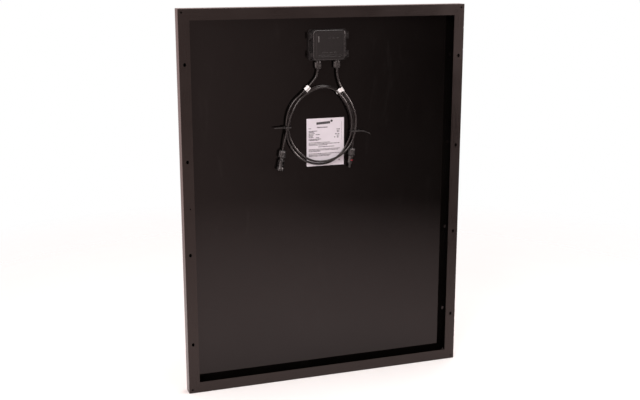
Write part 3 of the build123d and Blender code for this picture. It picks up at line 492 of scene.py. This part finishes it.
def make_materials():
    """One material for each slot of the record, and those of the print, the painted highlight of the lid's marks
    and the level rails.
    """
    made = {
        "frame_anodised": anodised("frame_anodised", ALONG_Z),
        "frame_level": anodised("frame_anodised_level", ALONG_X),
        "solar_glass": clear_layer("solar_glass", 0.05, (0.93, 0.96, 0.95, 1.0)),
        "encapsulant": clear_layer("encapsulant", 0.25, (0.97, 0.98, 0.98, 1.0)),
        "silicon_cell": silicon(),
        "backsheet_film": backsheet_film(),
        "label_paper": paper(),
        "label_ink": ink(),
        "tag_tape": white_tape(),
    }
    for name, look in PLASTICS.items():
        made[name] = moulded_plastic(name, *look)
    for name, look in METALS.items():
        made[name] = metal(name, *look)
    return made


# Studio


def back_direction(azimuth, elevation):
    """From the target to a viewer at that azimuth and elevation; azimuth 0 stands on the -Y side."""
    flat = math.cos(elevation)
    return Vector((math.sin(azimuth) * flat, -math.cos(azimuth) * flat, math.sin(elevation)))


def make_camera():
    data = bpy.data.cameras.new("camera")
    data.sensor_width = 36.0
    data.lens = CAMERA_LENS
    data.clip_end = 50.0
    camera = bpy.data.objects.new("camera", data)
    bpy.context.scene.collection.objects.link(camera)
    back = back_direction(CAMERA_AZIMUTH, CAMERA_ELEVATION)
    camera.location = CAMERA_TARGET + back * CAMERA_DISTANCE
    camera.rotation_mode = "QUATERNION"
    camera.rotation_quaternion = (-back).to_track_quat("-Z", "Y")
    bpy.context.scene.camera = camera


def area_light(name, place, target, size, power, color, lights_matt):
    data = bpy.data.lights.new(name, "AREA")
    data.shape = "RECTANGLE"
    data.size, data.size_y = size
    data.energy = power
    data.color = color
    lamp = bpy.data.objects.new(name, data)
    bpy.context.scene.collection.objects.link(lamp)
    lamp.location = place
    lamp.rotation_mode = "QUATERNION"
    lamp.rotation_quaternion = (Vector(target) - Vector(place)).to_track_quat("-Z", "Y")
    lamp.visible_diffuse = lights_matt


def make_world():
    """White to the eye; as light, a bright backdrop behind the module and a room that dims to the right."""
    world = bpy.data.worlds.new("studio")
    bpy.context.scene.world = world
    world.use_nodes = True
    tree = world.node_tree
    background = tree.nodes["Background"]
    direction = tree.nodes.new("ShaderNodeTexCoord")
    axes = tree.nodes.new("ShaderNodeSeparateXYZ")
    link(tree, direction.outputs["Generated"], axes.inputs["Vector"])
    behind = spread(tree, axes.outputs["Y"], 0.0, 1.0, *BACKDROP_FADE)
    room = spread(tree, axes.outputs["X"], ROOM_LIGHT, 0.0, *ROOM_FADE)
    backdrop = math_node(tree, "MULTIPLY", behind, BACKDROP_LIGHT)
    in_front = math_node(tree, "MULTIPLY", room, math_node(tree, "SUBTRACT", 1.0, behind))
    light = math_node(tree, "ADD", backdrop, in_front)
    path = tree.nodes.new("ShaderNodeLightPath")
    seen = path.outputs["Is Camera Ray"]
    hidden = math_node(tree, "MULTIPLY", light, math_node(tree, "SUBTRACT", 1.0, seen))
    link(tree, math_node(tree, "ADD", hidden, seen), background.inputs["Strength"])
    tint = blend_colors(tree, behind, ROOM_COLOR, BACKDROP_COLOR)
    link(tree, blend_colors(tree, seen, tint, (1.0, 1.0, 1.0)), background.inputs["Color"])


def floor_material():
    """Matt white studio floor that fades out at its edge."""
    material, tree, principled = shader("studio_floor", Roughness=0.9)
    tone = noise(tree, 3.0, 2.0)
    base = blend_colors(tree, spread(tree, tone, 0.0, 1.0), *FLOOR_COLORS)
    link(tree, base, principled.inputs["Base Color"])
    length = tree.nodes.new("ShaderNodeVectorMath")
    length.operation = "LENGTH"
    link(tree, object_point(tree, (1.0, 1.0, 0.0)), length.inputs[0])
    edge = spread(tree, length.outputs["Value"], 1.0, 0.0, FLOOR_RADIUS - FLOOR_FADE, FLOOR_RADIUS)
    link(tree, edge, principled.inputs["Alpha"])
    return material


def make_floor():
    mesh = bmesh.new()
    bmesh.ops.create_circle(mesh, cap_ends=True, segments=96, radius=FLOOR_RADIUS)
    floor = finish_mesh("studio_floor", mesh, floor_material())
    floor.location.z = cad_low.z - FLOOR_GAP


def make_studio():
    bpy.context.scene.view_settings.view_transform = "Standard"
    make_world()
    make_floor()
    for name, lamp in LAMPS.items():
        area_light(name, *lamp)


# Mesh helpers


def finish_mesh(name, mesh, material, smooth_angle=SMOOTH_ANGLE):
    """Turns a bmesh into a linked object with one material and smooth shading below an angle."""
    bmesh.ops.recalc_face_normals(mesh, faces=mesh.faces)
    data = bpy.data.meshes.new(name)
    mesh.to_mesh(data)
    mesh.free()
    data.materials.append(material)
    data.shade_smooth()
    data.set_sharp_from_angle(angle=math.radians(smooth_angle))
    piece = bpy.data.objects.new(name, data)
    bpy.context.scene.collection.objects.link(piece)
    return piece


def soften(piece, width):
    """Rounds the piece's sharp edges by a width in millimetres."""
    modifier = piece.modifiers.new("soft_edges", "BEVEL")
    modifier.width = width * MM
    modifier.segments = 2
    modifier.limit_method = "ANGLE"
    modifier.angle_limit = math.radians(EDGE_ANGLE)
    modifier.harden_normals = False


def skin_rings(mesh, rings, closed=True):
    """Faces between rings of vertices that hold the same number each; closed joins last to first."""
    pairs = list(zip(rings, rings[1:]))
    if closed:
        pairs.append((rings[-1], rings[0]))
    for lower, upper in pairs:
        count = len(lower)
        for i in range(count):
            j = (i + 1) % count
            mesh.faces.new((lower[i], lower[j], upper[j], upper[i]))


def lathe(outline, segments, fluted=(), flute=None):
    """Ring-shaped solid of revolution about Z from a closed outline of (radius, height) in mm.

    fluted holds the indexes of the points that the grooves cut into, and flute is the number of
    grooves, their depth, and the turn of the first one in degrees.
    """
    mesh = bmesh.new()
    rings = []
    for index, (radius, height) in enumerate(outline):
        ring = []
        for k in range(segments):
            angle = 2 * math.pi * k / segments
            r = radius
            if index in fluted:
                number, depth, turn = flute
                r -= depth * (0.5 + 0.5 * math.cos(number * (angle - math.radians(turn)))) ** GROOVE_POWER
            ring.append(mesh.verts.new((r * math.cos(angle) * MM, r * math.sin(angle) * MM, height * MM)))
        rings.append(ring)
    skin_rings(mesh, rings)
    return mesh


def add_box(mesh, low, high, turn=0.0):
    """Closed box between two corners, in millimetres, turned about Z by some degrees."""
    centre = [(a + b) / 2 * MM for a, b in zip(low, high)]
    size = [abs(b - a) * MM for a, b in zip(low, high)]
    matrix = Matrix.Translation(centre) @ Matrix.Diagonal((*size, 1.0))
    matrix = Matrix.Rotation(math.radians(turn), 4, "Z") @ matrix
    bmesh.ops.create_cube(mesh, size=1.0, matrix=matrix)


def rounded_outline(half_x, half_z, radius, steps=6):
    """Points of a rounded rectangle about the origin, in the XZ plane."""
    points = []
    for quarter, (sx, sz) in enumerate(((1, 1), (-1, 1), (-1, -1), (1, -1))):
        for step in range(steps + 1):
            angle = (quarter + step / steps) * math.pi / 2
            x = sx * (half_x - radius) + radius * math.cos(angle)
            z = sz * (half_z - radius) + radius * math.sin(angle)
            points.append((x, z))
    return points


def stacked_slab(mesh, centre, half, layers):
    """Solid whose rounded-rectangle outline changes from layer to layer.

    layers is a list of (inset, y, corner radius); centre is (x, z). All in millimetres.
    """
    rings = []
    for inset, y, radius in layers:
        outline = rounded_outline(half[0] - inset, half[1] - inset, radius)
        places = [((centre[0] + x) * MM, y * MM, (centre[1] + z) * MM) for x, z in outline]
        rings.append([mesh.verts.new(place) for place in places])
    skin_rings(mesh, rings, closed=False)
    mesh.faces.new(rings[0])
    mesh.faces.new(reversed(rings[-1]))


def cut(piece, cutter_mesh):
    """Takes the cutter's volume out of the piece for good."""
    cutter = finish_mesh("cutter", cutter_mesh, piece.data.materials[0])
    cutter.matrix_world = piece.matrix_world
    modifier = piece.modifiers.new("cut", "BOOLEAN")
    modifier.object = cutter
    modifier.solver = "EXACT"
    bpy.context.view_layer.update()
    graph = bpy.context.evaluated_depsgraph_get()
    result = bpy.data.meshes.new_from_object(piece.evaluated_get(graph))
    piece.modifiers.clear()
    piece.data = result
    bpy.data.objects.remove(cutter)
    piece.data.shade_smooth()
    piece.data.set_sharp_from_angle(angle=math.radians(SMOOTH_ANGLE))


def place_on(piece, joint):
    """Stands a piece made along +Z on a nut's turning axis, cable mouth first."""
    axis = -Vector(joint["axis"]).normalized()
    side = Vector((0, 1, 0)).cross(axis)
    basis = Matrix((side, Vector((0, 1, 0)), axis)).transposed().to_4x4()
    piece.matrix_world = Matrix.Translation(joint["pos_m"]) @ basis


# Cables


def make_cord(name, route, diameter, material):
    """Cable along a route in metres, as a curve with round section."""
    data = bpy.data.curves.new(name, "CURVE")
    data.dimensions = "3D"
    data.resolution_u = 10
    data.bevel_depth = diameter / 2
    data.bevel_resolution = 5
    data.use_fill_caps = True
    spline = data.splines.new("NURBS")
    spline.points.add(len(route) - 1)
    for point, place in zip(spline.points, route):
        point.co = (*place, 1.0)
    spline.use_endpoint_u = True
    spline.order_u = 3
    data.materials.append(material)
    cord = bpy.data.objects.new(name, data)
    bpy.context.scene.collection.objects.link(cord)
    return cord


def make_cables(materials):
    for side, route in ROUTES.items():
        cord = make_cord(f"{side}_cable", route, CABLE_DIAMETER, materials["cable_jacket"])
        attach(cord, "module")
        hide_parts(f"cable_{side}")


# Nuts and connectors


def nut_outline(length, radius):
    """Outline of a cap nut: flared mouth, long domed shoulder, fluted barrel and open end."""
    bore, mouth, inner = 3.7, 4.5, 7.1
    dome_width, dome_height = 3.4, 6.6
    dome = []
    for i in range(1, 10):
        t = i * math.pi / 18
        dome.append((radius - dome_width * (1 - math.sin(t)), dome_height * (1 - math.cos(t)) + 0.3))
    return [
        (bore, 2.4),
        (mouth, 0.0),
        (radius - 3.8, 0.0),
        *dome,
        (radius, length * 0.45),
        (radius, length * 0.62),
        (radius, length - 2.8),
        (radius, length - 2.2),
        (radius, length - 0.5),
        (radius - 0.5, length),
        (inner, length),
        (inner, 4.5),
        (bore, 4.5),
    ]


def make_nut(name, joint_name, body, node, shape, material):
    """Cap nut; shape is its length and radius, the depth of its grooves and where the first one lies."""
    length, radius, groove, turn = shape
    mesh = lathe(nut_outline(length, radius), NUT_SEGMENTS, FLUTED_POINTS, (NUT_FLUTES, groove, turn))
    nut = finish_mesh(name, mesh, material, EDGE_ANGLE)
    place_on(nut, JOINTS[joint_name])
    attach(nut, body)
    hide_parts(node)
    return nut


def make_gland_nuts(materials):
    plastic = materials["gland_plastic"]
    for side in ("left", "right"):
        body = f"gland_nut_{side}"
        make_nut(f"{side}_gland_nut", f"{body}_turn", body, body, GLAND_NUT, plastic)


def socket_shell(materials):
    """Socket connector: neck, narrow waist, windowed barrel and flared mating collar."""
    outline = [
        (5.5, 6.0), (6.9, 6.0), (6.9, 20.5), (6.4, 21.0), (5.2, 21.6), (5.2, 26.2), (5.6, 26.9),
        (8.5, 28.0), (9.0, 28.6), (9.0, 30.0), (8.6, 30.4), (8.6, 46.6), (9.0, 47.4), (9.9, 48.8),
        (9.9, 55.4), (9.3, 56.0), (7.2, 56.0), (6.8, 55.5), (6.8, 30.0), (4.0, 30.0), (4.0, 49.6),
        (3.6, 50.0), (2.4, 50.0), (2.4, 32.0), (2.1, 32.0), (2.1, 18.0), (5.5, 18.0),
    ]
    plastic = materials["connector_plastic"]
    shell = finish_mesh("left_connector_body", lathe(outline, 96), plastic, RIM_ANGLE)
    windows = bmesh.new()
    inner, outer = 5.0, 12.0
    for turn in WINDOW_TURNS:
        for start, end in WINDOW_SPANS:
            add_box(windows, (inner, -WINDOW_HALF, start), (outer, WINDOW_HALF, end), turn)
    cut(shell, windows)
    soften(shell, MOULDED_EDGE)
    return shell


def plug_shell(materials):
    """Plug connector: neck, collar, two latch fingers and a stepped nose with a groove for its ring."""
    outline = [
        (5.5, 6.0), (6.9, 6.0), (6.9, 20.5), (6.4, 21.0), (5.6, 21.4), (5.6, 22.3), (7.4, 22.8),
        (7.8, 23.3), (7.8, 25.6), (7.4, 26.1), (4.9, 26.6), (4.9, 33.4), (4.3, 33.4), (4.3, 35.6),
        (4.9, 35.6), (4.9, 45.0), (4.4, 45.9), (3.2, 47.0), (3.2, 55.4), (2.8, 56.0), (2.3, 56.0),
        (2.3, 34.0), (2.1, 34.0), (2.1, 18.0), (5.5, 18.0),
    ]
    mesh = lathe(outline, 72)
    for turn in FINGER_TURNS:
        hook_half = FINGER_HALF - 0.05
        add_box(mesh, (7.2, -FINGER_HALF, 23.2), (8.7, FINGER_HALF, 41.4), turn)
        add_box(mesh, (7.9, -hook_half, 37.6), (9.4, hook_half, 41.2), turn)
        add_box(mesh, (8.3, -2.0, 26.5), (9.1, 2.0, 27.4), turn)
    shell = finish_mesh("right_connector_body", mesh, materials["connector_plastic"], RIM_ANGLE)
    soften(shell, FINGER_EDGE)
    return shell


def make_connectors(materials):
    """Both connectors; returns the pieces that each cable carries."""
    shells = {"left": socket_shell(materials), "right": plug_shell(materials)}
    plastic = materials["connector_plastic"]
    carried = {}
    for side, shell in shells.items():
        joint = f"connector_nut_{side}_turn"
        place_on(shell, JOINTS[joint])
        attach(shell, "module")
        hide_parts(f"connector_{side}_housing")
        body = f"connector_nut_{side}"
        node = f"connector_{side}_nut"
        nut_name = f"{side}_connector_nut"
        nut = make_nut(nut_name, joint, body, node, CONNECTOR_NUT, plastic)
        small = [f"connector_{side}_seal", f"connector_{side}_contact"]
        carried[side] = [shell, nut, *[PARTS[name] for name in small]]
    carried["right"].append(PARTS["connector_right_o_ring"])
    return carried


# Ties and tags


def strap_section(width, thickness):
    """Chamfered outline of the strap, as (across, out) in millimetres."""
    w, t, c = width / 2, thickness / 2, 0.2
    return [
        (-w, -t + c),
        (-w + c, -t),
        (w - c, -t),
        (w, -t + c),
        (w, t - c),
        (w - c, t),
        (-w + c, t),
        (-w, t - c),
    ]


def sweep_strap(mesh, path, widths, thickness, closed):
    """Sweeps a flat strap along a path of (place, across, out) with a width for each point."""
    rings = []
    for (place, across, out), width in zip(path, widths):
        section = strap_section(width, thickness)
        rings.append([mesh.verts.new((place + across * a + out * b) * MM) for a, b in section])
    skin_rings(mesh, rings, closed)
    if not closed:
        mesh.faces.new(reversed(rings[0]))
        mesh.faces.new(rings[-1])


def tail_strip(head, tail, twist):
    """Path of the free tail from the head, which twists and narrows on its way, and its widths."""
    ends = [head, *[Vector(p) for p in tail]]
    total = len(ends) - 1
    taper_start, taper = 0.75, 5.6
    strip, widths = [], []
    for step in range(TAIL_STEPS + 1):
        t = step / TAIL_STEPS
        share = t * total
        index = min(int(share), total - 1)
        place = ends[index].lerp(ends[index + 1], share - index)
        along = (ends[index + 1] - ends[index]).normalized()
        turn = Matrix.Rotation(math.radians(twist) * t, 3, along)
        across = turn @ along.cross(Vector((0, -1, 0))).normalized()
        strip.append((place, across, along.cross(across)))
        widths.append(TAIL_WIDTH - taper * max(0.0, t - taper_start))
    return strip, widths


def make_tie(side, materials):
    """Cable tie: strap round the strands, ratchet head, and a free tail with ridges."""
    centre, half, tail, twist = TIES[side]
    centre = Vector(centre)
    mesh = bmesh.new()
    mid_x = half[0] + TIE_THICKNESS / 2
    mid_y = half[1] + TIE_THICKNESS / 2
    loop = []
    for x, y in rounded_outline(mid_x, mid_y, TIE_CORNER, 8):
        out = Vector((x / mid_x**2, y / mid_y**2, 0)).normalized()
        loop.append((centre + Vector((x, y, 0)), Vector((0, 0, 1)), out))
    sweep_strap(mesh, loop, [TIE_WIDTH] * len(loop), TIE_THICKNESS, True)
    toward = 1 if tail[-1][0] > centre.x else -1
    head = centre + Vector((toward * (mid_x + 3.0), -half[1] / 2, 0))
    for block in (Vector((2.7, 2.3, 2.75)), Vector((1.4, 2.9, 1.6))):
        add_box(mesh, head - block, head + block)
    strip, widths = tail_strip(head, tail, twist)
    sweep_strap(mesh, strip, widths, TAIL_THICKNESS, False)
    rise, reach, grip = 0.45, 0.9, Vector((0.25, 0.2, 0.2))
    for place, across, out in strip[3:-4]:
        start = place + out * rise - across * reach
        end = place + out * rise + across * reach
        add_box(mesh, start - grip, end + grip)
    tie = finish_mesh(f"{side}_cable_tie", mesh, materials["tie_nylon"], RIM_ANGLE)
    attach(tie, "module")
    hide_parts(f"cable_tie_{side}")


def tag_span(rows, share):
    """Where the wing starts and ends along the tag, at a share of the way from root to tip."""
    for (w0, start0, end0), (w1, start1, end1) in zip(rows, rows[1:]):
        if share <= w1:
            part = (share - w0) / (w1 - w0)
            return start0 + (start1 - start0) * part, end0 + (end1 - end0) * part
    return rows[-1][1:]


def make_tag(side, materials):
    """Folded tape flag: it wraps the cable, and its two layers meet in a wing on each side."""
    ends, wings, stand_off, rows = TAGS[side]
    start, end = Vector(ends[0]), Vector(ends[1])
    along = (end - start).normalized()
    length = (end - start).length
    out = along.cross(Vector((0, 1, 0)).cross(along)).normalized()
    if out.y > 0:
        out = -out
    across = along.cross(Vector((0, 1, 0))).normalized()
    sheet = TAPE_THICKNESS / 2
    radius = CABLE_DIAMETER / 2 / MM + TAPE_GAP + sheet
    columns = []
    for part in (1.0, 0.75, 0.5, 0.25):
        columns.append((radius + (wings[1] - radius) * part, sheet, 0.0, part))
    for step in range(1, 8):
        angle = math.pi * step / 8
        columns.append((radius * math.cos(angle), radius * math.sin(angle), 0.0, 0.0))
    for step in range(1, 9):
        part = step / 8
        lift = stand_off * min(1.0, 2.5 * part)
        columns.append((-radius - (wings[0] - radius) * part, sheet, lift, part))
    mesh = bmesh.new()
    rows_along = 11
    curl_reach = 0.25
    rings = []
    for row in range(rows_along):
        share = row / (rows_along - 1)
        curl = curl_reach * math.sin(3.0 * share + 0.5)
        top, bottom = [], []
        for a, thick, lift, part in columns:
            first, last = tag_span(rows, part) if a < 0 else (0.0, 1.0)
            place = start + along * (length * (first + (last - first) * share)) + across * a
            middle = lift + curl * part
            top.append(mesh.verts.new((place + out * (middle + thick)) * MM))
            bottom.append(mesh.verts.new((place + out * (middle - thick)) * MM))
        rings.append(top + bottom[::-1])
    skin_rings(mesh, rings, closed=False)
    mesh.faces.new(reversed(rings[0]))
    mesh.faces.new(rings[-1])
    tag = finish_mesh(f"{side}_cable_tag", mesh, materials["tag_tape"], EDGE_ANGLE)
    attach(tag, "module")
    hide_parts(f"cable_tag_{side}")


# Rating label print


# Rows of dashes, in millimetres from the label's upper left corner: start, end, drop, height
PRINT_ROWS = [
    (6, 13, 26.5, 1.6), (30, 61, 24.0, 1.9),
    (6, 31, 34.0, 1.3), (6, 22, 37.0, 1.3), (6, 24, 41.0, 1.3), (26, 38, 44.0, 1.6), (6, 21, 44.5, 1.3),
    (6, 18, 48.0, 1.3), (6, 20, 51.5, 1.3), (27, 36, 52.5, 1.6), (6, 42, 56.5, 1.4), (6, 34, 59.5, 1.3),
    (87, 97, 31.0, 1.5), (88, 95, 35.0, 1.3), (88, 95, 39.0, 1.3), (83, 88, 44.5, 1.6), (90, 96, 45.0, 1.4),
    (88, 95, 49.0, 1.3), (80, 84, 53.0, 1.7), (88, 94, 53.5, 1.5),
    (6, 68, 66.5, 1.2), (6, 96, 70.0, 1.3), (6, 60, 73.5, 1.2), (34, 81, 78.5, 1.3),
    (6, 97, 85.0, 1.1), (6, 92, 88.0, 1.1), (6, 40, 91.0, 1.1),
    (6, 97, 97.5, 1.2), (6, 72, 101.0, 1.2), (6, 66, 104.0, 1.2),
]


# Heading in place of a mark: a row of blocks, each a little higher than the last, and a dot;
# then a small bar near the lower right corner
HEADING_START = 28.5
HEADING_DROP = 10.7
HEADING_HEIGHT = 6.8
HEADING_STEPS = 7
STEP_PITCH = 5.7
STEP_WIDTH = 5.4
STEP_RISE = 0.3
DOT = (72.5, 8.4, 3.3)
CORNER_BAR = (93.5, 97.0, 118.0, 2.6)

# Upright row of short dashes near the right edge, and how far all the print stands off
SIDE_ROW = (101.5, 102.1)
SIDE_START = 12.0
SIDE_PITCH = 4.3
SIDE_COUNT = 12
INK_RAISE = 0.04


def print_disc(mesh, x, y, z, radius, thickness):
    turn = Matrix.Rotation(math.pi / 2, 4, "X")
    matrix = Matrix.Translation((x * MM, y * MM, z * MM)) @ turn
    r = radius * MM
    depth = thickness * MM
    bmesh.ops.create_cone(mesh, cap_ends=True, segments=32, radius1=r, radius2=r, depth=depth, matrix=matrix)


def make_label_print(materials):
    """Generic print: rows of short dashes in place of words, a bar and dot in place of a mark."""
    low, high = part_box("rating_label")
    left, top, face = low.x / MM, high.z / MM, low.y / MM
    dice = random.Random(7)
    mesh = bmesh.new()

    def bar(x0, x1, drop, height):
        near = (left + x0, face - INK_RAISE, top - drop - height)
        far = (left + x1, face + 0.01, top - drop)
        add_box(mesh, near, far)

    for start, end, drop, height in PRINT_ROWS:
        x = start
        while x < end:
            width = min(dice.uniform(1.2, 5.5), end - x)
            bar(x, x + width, drop, height * dice.uniform(1.25, 1.6))
            x += width + dice.uniform(0.5, 0.9)
    for index in range(HEADING_STEPS):
        start = HEADING_START + index * STEP_PITCH
        bar(start, start + STEP_WIDTH, HEADING_DROP - STEP_RISE * index, HEADING_HEIGHT)
    dot_x, dot_drop, dot_r = DOT
    print_disc(mesh, left + dot_x, face - INK_RAISE / 2, top - dot_drop, dot_r, INK_RAISE)
    bar(*CORNER_BAR)
    for index in range(SIDE_COUNT):
        bar(*SIDE_ROW, SIDE_START + index * SIDE_PITCH, dice.uniform(2.2, 3.6))
    printed = finish_mesh("label_print", mesh, materials["label_ink"])
    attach(printed, "module")


# Junction box lid


def make_lid(materials):
    """Moulded lid: skirt, rounded rim, shallow sunk band, raised panel with plain marks in painted highlight,
    latch fingers.
    """
    low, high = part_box("junction_box_lid")
    seal_low, seal_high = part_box("lid_seal")
    x, z = (low.x + high.x) / 2 / MM, (low.z + high.z) / 2 / MM
    half = ((seal_high.x - seal_low.x) / 2 / MM, (seal_high.z - seal_low.z) / 2 / MM)
    rear = low.y / MM + 0.8
    band = rear + 0.12
    quarter = [i * math.pi / 14 for i in range(7, -1, -1)]
    rounding = []
    for t in quarter:
        inset = LID_EDGE * (1 - math.sin(t)) + 0.2
        rounding.append((inset, rear + LID_EDGE * (1 - math.cos(t)), LID_CORNER))
    layers = [
        (LID_WALL, rear + LID_TOP, LID_INNER_CORNER),
        (LID_WALL, LID_SKIRT, LID_INNER_CORNER),
        (0.0, LID_SKIRT, LID_CORNER),
        *rounding,
        (5.2, rear, 5.0),
        (5.8, band, 4.6),
        (7.0, band, 4.0),
        (7.6, rear, 3.8),
        (12.0, rear - 0.1, 3.4),
    ]
    mesh = bmesh.new()
    stacked_slab(mesh, (x, z), half, layers)

    def raised(x0, x1, z0, z1, height, slot):
        count = len(mesh.faces)
        add_box(mesh, (x + x0, rear - height, z + z0), (x + x1, rear + 0.6, z + z1))
        for face in list(mesh.faces)[count:]:
            face.material_index = slot

    # Lighter plastic on the bar and rows: painted highlight
    bar_slot, row_slot = 1, 2
    raised(*LID_BAR, 0.8, bar_slot)
    for start, width in UPPER_ROW:
        raised(start, start + width, 16.6, 19.6, 0.45, row_slot)
    for start, width in LOWER_ROW:
        raised(start, start + width, -21.6, -18.4, 0.5, row_slot)
    for drop in LID_LINES:
        raised(-34.0, 34.0, drop - 0.5, drop + 0.5, 0.5, row_slot)
    for side in (-1, 1):
        edge, hook, tip = side * (half[0] - 1), side * LATCH_X[0], side * LATCH_X[1]
        for offset in LATCH_OFFSETS:
            top, bottom = z + offset + LATCH_HALF, z + offset - LATCH_HALF
            add_box(mesh, (x + edge, 8.0, bottom), (x + tip, 10.0, top))
            add_box(mesh, (x + hook, 8.2, bottom), (x + tip, 20.0, top))
    lid = finish_mesh("box_lid", mesh, materials["box_plastic"], RIM_ANGLE)
    lid.data.materials.append(materials["lid_bar_painted_highlight"])
    lid.data.materials.append(materials["lid_rows_painted_highlight"])
    soften(lid, MOULDED_EDGE)
    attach(lid, "lid")
    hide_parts("junction_box_lid")


# Carried-over parts


def paint_parts(materials):
    """Gives each part of the frame that is still shown the material of its slot."""
    slots = {entry["node"]: entry["material_slot"] for entry in RECORD["subparts"]}
    for node, part in PARTS.items():
        material = materials[slots[node]]
        if node in ("frame_rail_top", "frame_rail_bottom"):
            material = materials["frame_level"]
        part.data.materials.clear()
        part.data.materials.append(material)


make_camera()
looks = make_materials()
paint_parts(looks)
soften(PARTS["junction_box_base"], BASE_EDGE)
carried_pieces = make_connectors(looks)
make_cables(looks)
make_gland_nuts(looks)
for cable_side in ("left", "right"):
    make_tie(cable_side, looks)
    make_tag(cable_side, looks)
make_label_print(looks)
make_lid(looks)
make_studio()
